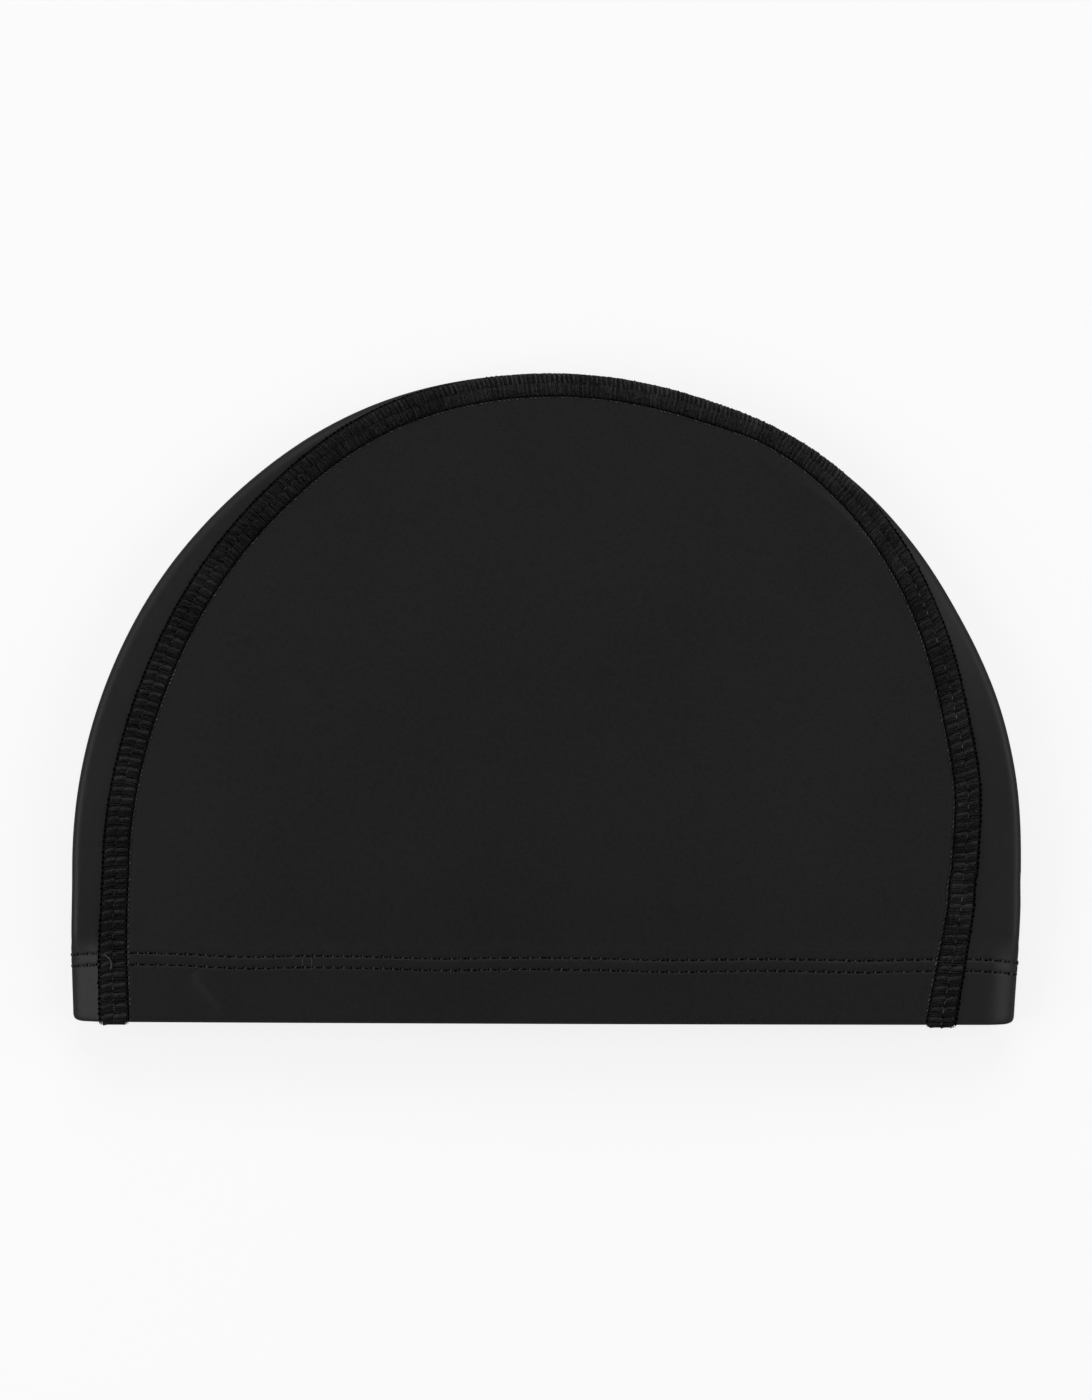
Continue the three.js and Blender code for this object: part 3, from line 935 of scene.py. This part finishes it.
def sew(name, material_slot, tree, lay, **values):
    """Makes what a geometry tree gives straight, lays it on the cloth, and hands the piece to the frame.
    The values are the tree's inputs, such as thread_radius for ThreadRadius."""
    host = add_object(name, bpy.data.meshes.new(name))
    modifier = host.modifiers.new(name, "NODES")
    modifier.node_group = tree
    given = {key.title().replace("_", ""): value for key, value in values.items()}
    for item in tree.interface.items_tree:
        if item.in_out == "INPUT" and item.name in given:
            modifier[item.identifier] = given[item.name]
    depsgraph = bpy.context.evaluated_depsgraph_get()
    mesh = bpy.data.meshes.new_from_object(host.evaluated_get(depsgraph))
    host.modifiers.clear()
    host.data = mesh
    mesh.name = name
    places = np.zeros(3 * len(mesh.vertices))
    mesh.vertices.foreach_get("co", places)
    mesh.vertices.foreach_set("co", lay(places.reshape(-1, 3)).ravel())
    mesh.update()
    finish_piece(host, material_slot)


# Materials


def mottle_group():
    """Uneven dye, rubbed places and fine dust, as a factor round 1."""
    inputs = {"Patch Size": 0.03, "Speck Size": 0.0008, "Contrast": 0.1}
    w = Group("cap_mottle", "ShaderNodeTree", inputs, "NodeSocketFloat")
    place = w.add("ShaderNodeTexCoord", output="Object")

    def cloudy(size, detail):
        inputs = {"Vector": place, "Scale": 1.0 / size, "Detail": detail, "Roughness": 0.6}
        return w.add("ShaderNodeTexNoise", inputs) - 0.5

    both = cloudy(w["Patch Size"], 3.0) + cloudy(w["Speck Size"], 2.0) * 1.4
    return w.closed(1.0 + both * w["Contrast"])


def knit_group():
    """The ribs and rows of fine knitting, as a height, on flat places in metres."""
    inputs = {"Place": (0.0, 0.0, 0.0), "Rib": 0.00042, "Row": 0.00034}
    w = Group("cap_knit", "ShaderNodeTree", inputs, "NodeSocketFloat")
    across, up = (w.add("ShaderNodeSeparateXYZ", {0: w["Place"]}, axis) for axis in (0, 1))
    rib = abs((across / w["Rib"] * math.pi).sine())
    bent = (up / w["Row"] * (2 * math.pi) + rib * 2.2).sine()
    return w.closed(rib * 0.65 + bent * 0.18)


def grain_group():
    """Fine bumps as a height: the grain of a coating, or the fuzz of a thread."""
    w = Group("cap_grain", "ShaderNodeTree", {"Size": 0.0003, "Roughness": 0.55}, "NodeSocketFloat")
    place = {"Vector": w.add("ShaderNodeTexCoord", output="Object"), "Scale": 1.0 / w["Size"]}
    coarse = w.add("ShaderNodeTexNoise", place | {"Detail": 3.0, "Roughness": w["Roughness"]})
    cells = w.add("ShaderNodeTexVoronoi", place, "Distance")
    return w.closed(coarse + cells * 0.4)


class Finish(Wiring):
    """A new material and the wiring of its nodes."""

    def __init__(self, name, base, values):
        self.material = bpy.data.materials.new(name)
        self.material.use_nodes = True
        self.material.diffuse_color = (*base, 1)
        super().__init__(self.material.node_tree)
        self.base = tuple(base)
        self.shader = self.tree.nodes["Principled BSDF"]
        for socket, value in ({"Base Color": (*base, 1)} | values).items():
            self.shader.inputs[socket].default_value = value

    def feed(self, socket, value):
        self.tree.links.new(value.socket, self.shader.inputs[socket])

    def group(self, name, maker, inputs):
        """A shared shader group, made the first time that it is asked for."""
        shared = bpy.data.node_groups.get(name) or maker()
        return self.add("ShaderNodeGroup", inputs, node_tree=shared)

    def mottle(self, patch, speck, contrast):
        inputs = {"Patch Size": patch, "Speck Size": speck, "Contrast": contrast}
        return self.group("cap_mottle", mottle_group, inputs)

    def knit(self, rib, row):
        flat = self.add("ShaderNodeUVMap", uv_map="flat")
        return self.group("cap_knit", knit_group, {"Place": flat, "Rib": rib, "Row": row})

    def grain(self, size, roughness):
        return self.group("cap_grain", grain_group, {"Size": size, "Roughness": roughness})

    def tint(self, factor):
        """Feeds the base colour times a factor to the shader."""
        inputs = {0: self.base, "Scale": factor}
        self.feed("Base Color", self.add("ShaderNodeVectorMath", inputs, operation="SCALE"))

    def bump(self, height, distance):
        inputs = {"Height": height, "Distance": distance, "Strength": 1.0}
        self.feed("Normal", self.add("ShaderNodeBump", inputs))


def coated_cloth(name, base):
    """The outer face: a smooth soft coating over fine knitting, which prints through it faintly."""
    finish = Finish(name, base, {"Specular IOR Level": 0.3, "Coat Weight": 0.0, "Sheen Weight": 0.0})
    mottle = finish.mottle(0.045, 0.0011, 0.22)
    finish.tint(mottle)
    facing = finish.add("ShaderNodeLayerWeight", {"Blend": 0.5}, "Facing")
    finish.feed("Roughness", mottle * 0.5 + finish.ramp(facing, 0.05, 0.42) * 0.45)
    finish.bump(finish.knit(0.00045, 0.00036) * 0.35 + finish.grain(0.00024, 0.55), 0.00002)


def knit_back(name, base):
    """The inner face and the cut edges: matte knitting with a little nap."""
    values = {"Roughness": 0.9, "Specular IOR Level": 0.25, "Sheen Weight": 0.35, "Sheen Roughness": 0.5}
    finish = Finish(name, base, values)
    knit = finish.knit(0.0005, 0.0004)
    # The colour follows the knit's height, so the knit's grooves carry painted shade
    finish.tint(finish.mottle(0.02, 0.0005, 0.5) * (0.55 + knit))
    finish.bump(knit, 0.00012)


def thread_finish(name, base, fuzz, sheen, roughness, shine):
    """Sewing thread: each strand has its own tone, which also carries painted highlights and shade, and fuzz
    breaks up its shine.
    """
    values = {
        "Roughness": roughness,
        "Specular IOR Level": shine,
        "Sheen Weight": sheen,
        "Sheen Roughness": 0.45,
    }
    finish = Finish(name, base, values)
    tone = finish.add("ShaderNodeAttribute", output="Fac", attribute_name="tone")
    finish.tint(tone * finish.mottle(0.012, 0.0006, 2.4))
    finish.bump(finish.grain(0.00025, 0.7), fuzz)


# Fuzz in metres, sheen, roughness and shine of each thread
THREAD_LOOKS = {
    "seam_thread": (0.0001, 0.0, 0.9, 0.15),
    "taut_thread": (0.00003, 0.1, 0.7, 0.15),
    "hem_thread": (0.00003, 0.0, 0.9, 0.05),
    "loose_thread": (0.00003, 0.2, 0.7, 0.15),
}


def material(context, name):
    """A material of the cap, made the first time that it is asked for."""
    if name not in bpy.data.materials:
        base = getattr(context.scene.cap_colours, name)
        if name in THREAD_LOOKS:
            thread_finish(name, base, *THREAD_LOOKS[name])
        elif name == "knit_back":
            knit_back(name, base)
        else:
            coated_cloth(name, base)
    return bpy.data.materials[name]


# Operators


class SWIMCAP_OT_side_panel(bpy.types.Operator):
    """Build the half-round panel on the upper side, with its hem"""

    bl_idname = "swimcap.side_panel"
    bl_label = "Side Panel"

    def execute(self, context):
        shape = CapShape(context.scene)

        def distances(turn):
            start = shape.seam_middle(turn) + shape.form.cut_edge
            return start + (shape.middle_of_top(turn) - start) * crowded(104, 1.5)

        faces = [material(context, "coated_cloth"), material(context, "knit_back")]
        piece = panel(shape, "side_panel_cloth", distances, shape.middle_of_top, faces)
        finish_piece(piece, "cloth", "side_panel")
        return {"FINISHED"}


class SWIMCAP_OT_wrap_panel(bpy.types.Operator):
    """Build the panel that lies underneath and comes up round the fold, with its hem"""

    bl_idname = "swimcap.wrap_panel"
    bl_label = "Wrap Panel"

    def execute(self, context):
        shape = CapShape(context.scene)
        round_fold = shape.form.under_fold * np.pi / 2

        def distances(turn):
            rim = (shape.seam_middle(turn) - shape.form.cut_edge) * crowded(26, 1.2)[::-1]
            fold = -round_fold * np.linspace(0, 1, 12)[1:] + 0 * turn
            under = -round_fold - (shape.middle_of_under(turn) - round_fold) * crowded(34, 1.3)[1:]
            return np.concatenate([rim, fold, under], axis=1)

        # The wrap's outer coating is the lighter copy, with painted light on the folds
        faces = [material(context, "wrap_cloth"), material(context, "knit_back")]
        piece = panel(shape, "wrap_panel_cloth", distances, shape.middle_of_under, faces)
        finish_piece(piece, "cloth", "wrap_panel")
        return {"FINISHED"}


def cloth_depth(form, height):
    """How thick the cloth is at a height over the mouth, where the hem lies behind it or ends."""
    hem_thick = 2 * form.wall + form.hem_gap
    step = 1.5 * MM
    return hem_thick + (form.wall - hem_thick) * smooth_step(height, form.hem_height, form.hem_height + step)


def seam_section(seam, behind):
    """The thread bed's section as offsets across it and heights over the cloth's face: a low bed outside,
    the core between the cut edges, and a bed on the inside. Behind is how thick the cloth is there."""
    half, back, core, thick = seam.width / 2, seam.back_width / 2, seam.core / 2, 0.25 * MM
    sunk = 0.02 * MM
    shares = ((-1.0, 0.0), (-0.97, 0.7), (-0.85, 1.0), (-0.5, 1.1), (-0.1, 1.0))
    over = [(half * offset, seam.tape * height) for offset, height in shares]
    under = [(half * 0.5, -sunk), (core, -sunk), (core, -behind), (back, -behind), (back, -behind - thick)]
    right_over, left_under = ([(-x, z) for x, z in reversed(row)] for row in (over, under))
    return np.array(over + right_over + under + left_under)


class SWIMCAP_OT_seam_bed(bpy.types.Operator):
    """Build the bed of thread that joins the two cut edges"""

    bl_idname = "swimcap.seam_bed"
    bl_label = "Seam Bed"

    def execute(self, context):
        shape = CapShape(context.scene)
        route = SeamRoute(shape)
        stations = np.linspace(0, route.stitches, 3 * route.stitches)
        turns = np.interp(stations, route.stitch, route.turns)
        depths = cloth_depth(shape.form, shape.edge(turns)[2])
        ends = np.minimum(stations, route.stitches - stations)
        rounding, end_size = 0.35, 0.8
        roundness = np.sqrt(1 - (1 - np.clip(ends / rounding, 0, 1)) ** 2)
        tucked = end_size + (1 - end_size) * roundness
        rings = []
        for station, depth, tuck in zip(stations, depths, tucked):
            section = seam_section(shape.seam, depth) * tuck
            rings.append(np.c_[np.full(len(section), station), -section[:, 0], section[:, 1]])
        points = route.lay(np.concatenate(rings), 1.0)
        ring = np.arange(len(points)).reshape(len(rings), -1)
        following = np.roll(ring, -1, axis=1)
        quads = np.stack([ring[:-1], following[:-1], following[1:], ring[1:]], -1).reshape(-1, 4)
        mesh = bpy.data.meshes.new("seam_bed")
        faces = quads.tolist() + [ring[0].tolist(), ring[-1][::-1].tolist()]
        mesh.from_pydata(points.tolist(), [], faces)
        mesh.materials.append(material(context, "seam_thread"))

        def cut_ends(solid):
            bmesh.ops.triangulate(solid, faces=[face for face in solid.faces if len(face.verts) > 4])

        close_up(mesh, cut_ends, crease_degrees=60)
        tone_evenly(mesh, 0.9)
        finish_piece(add_object("seam_bed", mesh), "thread", "crown_seam")
        return {"FINISHED"}


class SWIMCAP_OT_seam_threads(bpy.types.Operator):
    """Lay the cover threads, the loops and the inner threads of the flatlock seam"""

    bl_idname = "swimcap.seam_threads"
    bl_label = "Seam Threads"

    def execute(self, context):
        shape = CapShape(context.scene)
        seam = shape.seam
        route = SeamRoute(shape)
        nominal = (seam.end_pitch + seam.crown_pitch) / 2
        strands, loops, beads = strand_tree(), loop_tree(), bead_tree()
        seam_thread, hem_thread, taut_thread = (
            material(context, name) for name in ("seam_thread", "hem_thread", "taut_thread")
        )

        def lay(straight):
            return route.lay(straight, nominal)

        def lay_cover(straight):
            return lay(ruffled(straight, seam.ruffle))

        def lay_behind(straight):
            turn = np.interp(straight[:, 0] / nominal, route.stitch, route.turns)
            depth = cloth_depth(shape.form, shape.edge(turn)[2]) + 0.2 * MM
            return route.lay(straight * np.array([1, -1, -1]), nominal, depth)

        cover = dict(
            stitches=route.stitches, pitch=nominal, columns=2, thread_radius=seam.strand_radius,
            fill=seam.fill, material=seam_thread,
        )
        sew(
            "seam_cover_threads", "thread", strands, lay_cover, **cover, width=seam.width - 0.7 * MM,
            strands=seam.strands, puff=seam.puff, slant=-seam.slant, sag=seam.sag, lift=seam.tape * 0.8,
            pillow=seam.pillow, bar_tone=seam.bar_tone, lean=seam.lean, seed=3,
        )
        sew(
            "seam_loops", "thread", loops, lay, loops=2 * route.stitches, pitch=nominal / 2,
            width=seam.width - 0.6 * MM, reach=0.26 * MM, thread_radius=0.13 * MM, lift=seam.tape * 0.7,
            seed=11, material=seam_thread,
        )
        # Loops of black thread along both edges of the seam: painted shade where the cloth tucks under it,
        # partly needle thread
        sew(
            "seam_border", "thread", loops, lay, loops=2 * route.stitches, pitch=nominal / 2,
            width=seam.width + 0.4 * MM, reach=0.15 * MM, thread_radius=0.09 * MM, lift=0.02 * MM,
            fade=0.65, seed=12, material=hem_thread,
        )
        holes = dict(
            beads=2 * route.stitches - 1, start=1.0, pitch=nominal / 2, gauge=seam.width + 0.5 * MM, fade=0.45
        )
        # Black beads at the seam's needle holes: partly thread, partly painted shade in the holes
        sew(
            "seam_needle_holes", "thread", beads, lay, **holes, rows=2, offset=seam.width / 2 + 0.25 * MM,
            length=0.42 * MM, breadth=0.4 * MM, height=0.22 * MM, lift=0.1 * MM, seed=21,
            material=hem_thread,
        )
        # Light dashes along the seam's middle in the lighter thread: painted highlight, at half tone on the
        # left of the crown
        sew(
            "seam_middle_line", "thread", beads, lay, beads=route.stitches, start=0.5, pitch=nominal,
            rows=1, crown_gap=0.2, left_tone=0.5, length=0.14 * MM, breadth=0.6 * MM, height=0.14 * MM,
            lift=seam.tape + seam.pillow + 0.3 * MM, lean=0.12, seed=23, material=taut_thread,
        )
        # Light ticks beyond one edge of the seam in the lighter thread: painted highlight on the loops there
        sew(
            "seam_edge_ticks", "thread", beads, lay, **holes, rows=1, offset=-seam.width / 2 - 0.6 * MM,
            length=0.17 * MM, breadth=0.42 * MM, height=0.18 * MM, lift=0.08 * MM, lean=0.4, seed=25,
            material=taut_thread,
        )
        sew(
            "seam_back_threads", "thread", strands, lay_behind, **cover, width=seam.back_width, strands=2,
            puff=0.18 * MM, slant=seam.slant * 2, seed=5,
        )
        return {"FINISHED"}


class SWIMCAP_OT_hem_stitches(bpy.types.Operator):
    """Sew the two rows of stitches round the mouth, the cloth pinched between them and the threads behind"""

    bl_idname = "swimcap.hem_stitches"
    bl_label = "Hem Stitches"

    def execute(self, context):
        shape = CapShape(context.scene)
        hem, form = shape.hem, shape.form
        route = HemRoute(shape)
        stitches = route.stitches(hem.pitch)
        pitch = route.run / stitches
        # Two longer ticks across both rows, and how far they lie from the cap's middle
        first, last = -58.8 * MM, -56.4 * MM
        behind = 2 * form.wall + form.hem_gap
        beads = bead_tree()
        hem_thread, pinched = material(context, "hem_thread"), material(context, "pinched_cloth")

        def lay_ticks(straight):
            turn = shape.left_turn(hem.height - hem.gauge / 2 + straight[:, 1])
            return shape.cloth(turn, shape.along_at(turn, first + straight[:, 0]), straight[:, 2])

        def lay_behind(straight):
            return route.lay((straight - [0, hem.gauge / 2, 0]) * np.array([-1, 1, 1]), behind)

        rows = dict(pitch=pitch, rows=2, gauge=hem.gauge)
        sew(
            "hem_rows", "thread", dash_tree(), route.lay, **rows, stitches=stitches, reach=hem.reach,
            thread_radius=hem.thread_radius, arch=2.4 * hem.thread_radius, seed=4, material=hem_thread,
        )
        # The pinches use the lighter coating: painted glint between the stitches, partly stretch whitening
        sew(
            "hem_pinches", "cloth", beads, route.lay, **rows, beads=stitches, start=0.09, length=0.5 * MM,
            breadth=0.17 * MM, height=hem.sink + hem.pinch, lean=0.45, seed=6, material=pinched,
        )
        # Black beads at the stitches' ends: partly thread, partly painted shade in the needle holes
        sew(
            "hem_needle_holes", "thread", beads, route.lay, **rows, beads=stitches, start=-0.07,
            offset=0.08 * MM, length=0.38 * MM, breadth=0.17 * MM, height=hem.sink + 0.1 * MM, lean=0.1,
            seed=7, material=hem_thread,
        )
        # The two ticks use the lighter coating too: painted glint on two puckers, partly stretch whitening
        sew(
            "hem_long_ticks", "cloth", beads, lay_ticks, beads=2, pitch=last - first, rows=1,
            gauge=hem.gauge, length=hem.gauge, breadth=0.12 * MM, height=0.2 * MM, lean=0.03, seed=9,
            material=pinched,
        )
        sew(
            "hem_looper_threads", "thread", strand_tree(), lay_behind, stitches=stitches, pitch=pitch,
            width=hem.gauge, columns=1, strands=2, fill=0.5, thread_radius=0.16 * MM, puff=0.2 * MM,
            slant=pitch * 0.8, lift=0.1 * MM, seed=8, material=material(context, "seam_thread"),
        )
        return {"FINISHED"}


class SWIMCAP_OT_loose_thread(bpy.types.Operator):
    """Lay the one loose thread end on the left of the seam"""

    bl_idname = "swimcap.loose_thread"
    bl_label = "Loose Thread"

    def execute(self, context):
        shape = CapShape(context.scene)
        # Distance from the cap's middle, height over the mouth's edge, and height over the cloth
        route = np.array(
            [
                (-107.0, 16.6, 0.9),
                (-106.2, 16.3, 1.5),
                (-105.4, 15.6, 1.6),
                (-105.0, 14.7, 1.55),
                (-104.9, 13.7, 1.45),
                (-105.2, 12.9, 1.35),
            ]
        ) * MM
        turn = shape.left_turn(route[:, 1])
        points = shape.point(turn, shape.along_at(turn, route[:, 0]), -route[:, 2])
        curve = bpy.data.curves.new("loose_thread", "CURVE")
        curve.dimensions = "3D"
        curve.bevel_depth = 0.11 * MM
        curve.bevel_resolution = 2
        curve.use_fill_caps = True
        spline = curve.splines.new("NURBS")
        spline.points.add(len(points) - 1)
        spline.points.foreach_set("co", np.c_[points, np.ones(len(points))].ravel())
        spline.use_endpoint_u = True
        spline.order_u = 4
        host = bpy.data.objects.new("loose_thread_route", curve)
        mesh = bpy.data.meshes.new_from_object(host)
        bpy.data.objects.remove(host)
        mesh.materials.append(material(context, "loose_thread"))
        tone_evenly(mesh, 1.0)
        finish_piece(add_object("loose_thread", mesh), "thread")
        return {"FINISHED"}


def area_light(name, power, place, size):
    """A soft light that faces the cap."""
    data = bpy.data.lights.new(name, "AREA")
    data.energy = power
    data.shape = "RECTANGLE"
    data.size, data.size_y = size
    light = add_object(name, data)
    light.location = place
    light.rotation_euler = (Vector() - light.location).to_track_quat("-Z", "Y").to_euler()


def surround(horizon, zenith):
    """A white surround that is bright low down and darker overhead, as between two big soft boxes."""
    world = bpy.data.worlds.new("studio_surround")
    world.use_nodes = True
    w = Wiring(world.node_tree)
    place = w.add("ShaderNodeTexCoord", output="Generated")
    height = w.add("ShaderNodeSeparateXYZ", {0: place}, 2)
    background = w.tree.nodes["Background"].inputs
    w.tree.links.new(w.ramp(height, 0.15, 0.9, horizon, zenith).socket, background["Strength"])
    background["Color"].default_value = (1, 1, 1, 1)
    bpy.context.scene.world = world


class SWIMCAP_OT_studio(bpy.types.Operator):
    """Set up the pale floor, the soft lights and the camera straight above the cap"""

    bl_idname = "swimcap.studio"
    bl_label = "Studio"

    def execute(self, context):
        scene = context.scene
        studio = scene.cap_studio
        scene.view_settings.view_transform = "Standard"
        mesh = bpy.data.meshes.new("studio_floor")
        reach = 4.0
        corners = [(-reach, -reach, 0), (reach, -reach, 0), (reach, reach, 0), (-reach, reach, 0)]
        mesh.from_pydata(corners, [], [(0, 1, 2, 3)])
        # Lit from below as well, so that shadows on it stay faint
        glow = {"Emission Color": (1, 1, 1, 1), "Emission Strength": studio.floor_glow}
        pale = Finish("studio_floor", studio.floor, {"Roughness": 0.85, "Specular IOR Level": 0.1} | glow)
        mesh.materials.append(pale.material)
        add_object("studio_floor", mesh)
        surround(studio.horizon, studio.zenith)
        area_light("top_soft_box", studio.top_power, (0.0, 2.0, 1.2), (2.0, 1.0))
        area_light("left_soft_box", studio.left_power, (-1.1, -0.1, 0.6), (0.9, 0.9))
        area_light("right_soft_box", studio.right_power, (1.1, 0.1, 0.6), (0.9, 0.9))

        data = bpy.data.cameras.new("camera")
        picture_height, picture_width = 1400, 1092
        picture_share = picture_height / picture_width
        eye = studio.camera_height - scene.cap_form.under_fold
        data.sensor_fit = "AUTO"
        data.lens = data.sensor_width * eye / (studio.frame_width * picture_share)
        data.clip_start, data.clip_end = 0.05, 20
        scene.camera = add_object("camera", data)
        middle = (cad_bounds[0] + cad_bounds[1]) / 2
        scene.camera.location = (middle.x, middle.y, studio.camera_height)
        return {"FINISHED"}


class SWIMCAP_PT_dresser(bpy.types.Panel):
    """The steps that dress the cap, in order"""

    bl_idname = "SWIMCAP_PT_dresser"
    bl_label = "Swim Cap"
    bl_space_type = "VIEW_3D"
    bl_region_type = "UI"
    bl_category = "Swim Cap"

    def draw(self, context):
        for step in STEPS:
            self.layout.operator(step.bl_idname)


STEPS = (
    SWIMCAP_OT_side_panel,
    SWIMCAP_OT_wrap_panel,
    SWIMCAP_OT_seam_bed,
    SWIMCAP_OT_seam_threads,
    SWIMCAP_OT_hem_stitches,
    SWIMCAP_OT_loose_thread,
    SWIMCAP_OT_studio,
)

SETTINGS = {
    "cap_form": CapForm,
    "cap_seam": SeamStitches,
    "cap_hem": HemStitches,
    "cap_colours": CapColours,
    "cap_studio": StudioSettings,
}


def register():
    for group in SETTINGS.values():
        bpy.utils.register_class(group)
    for name, group in SETTINGS.items():
        setattr(bpy.types.Scene, name, bpy.props.PointerProperty(type=group))
    for step in (*STEPS, SWIMCAP_PT_dresser):
        bpy.utils.register_class(step)


def unregister():
    for step in reversed((*STEPS, SWIMCAP_PT_dresser)):
        bpy.utils.unregister_class(step)
    for name in SETTINGS:
        delattr(bpy.types.Scene, name)
    for group in reversed(SETTINGS.values()):
        bpy.utils.unregister_class(group)


def main():
    register()
    bpy.ops.swimcap.side_panel()
    bpy.ops.swimcap.wrap_panel()
    bpy.ops.swimcap.seam_bed()
    bpy.ops.swimcap.seam_threads()
    bpy.ops.swimcap.hem_stitches()
    bpy.ops.swimcap.loose_thread()
    bpy.ops.swimcap.studio()


if __name__ == "__main__":
    main()
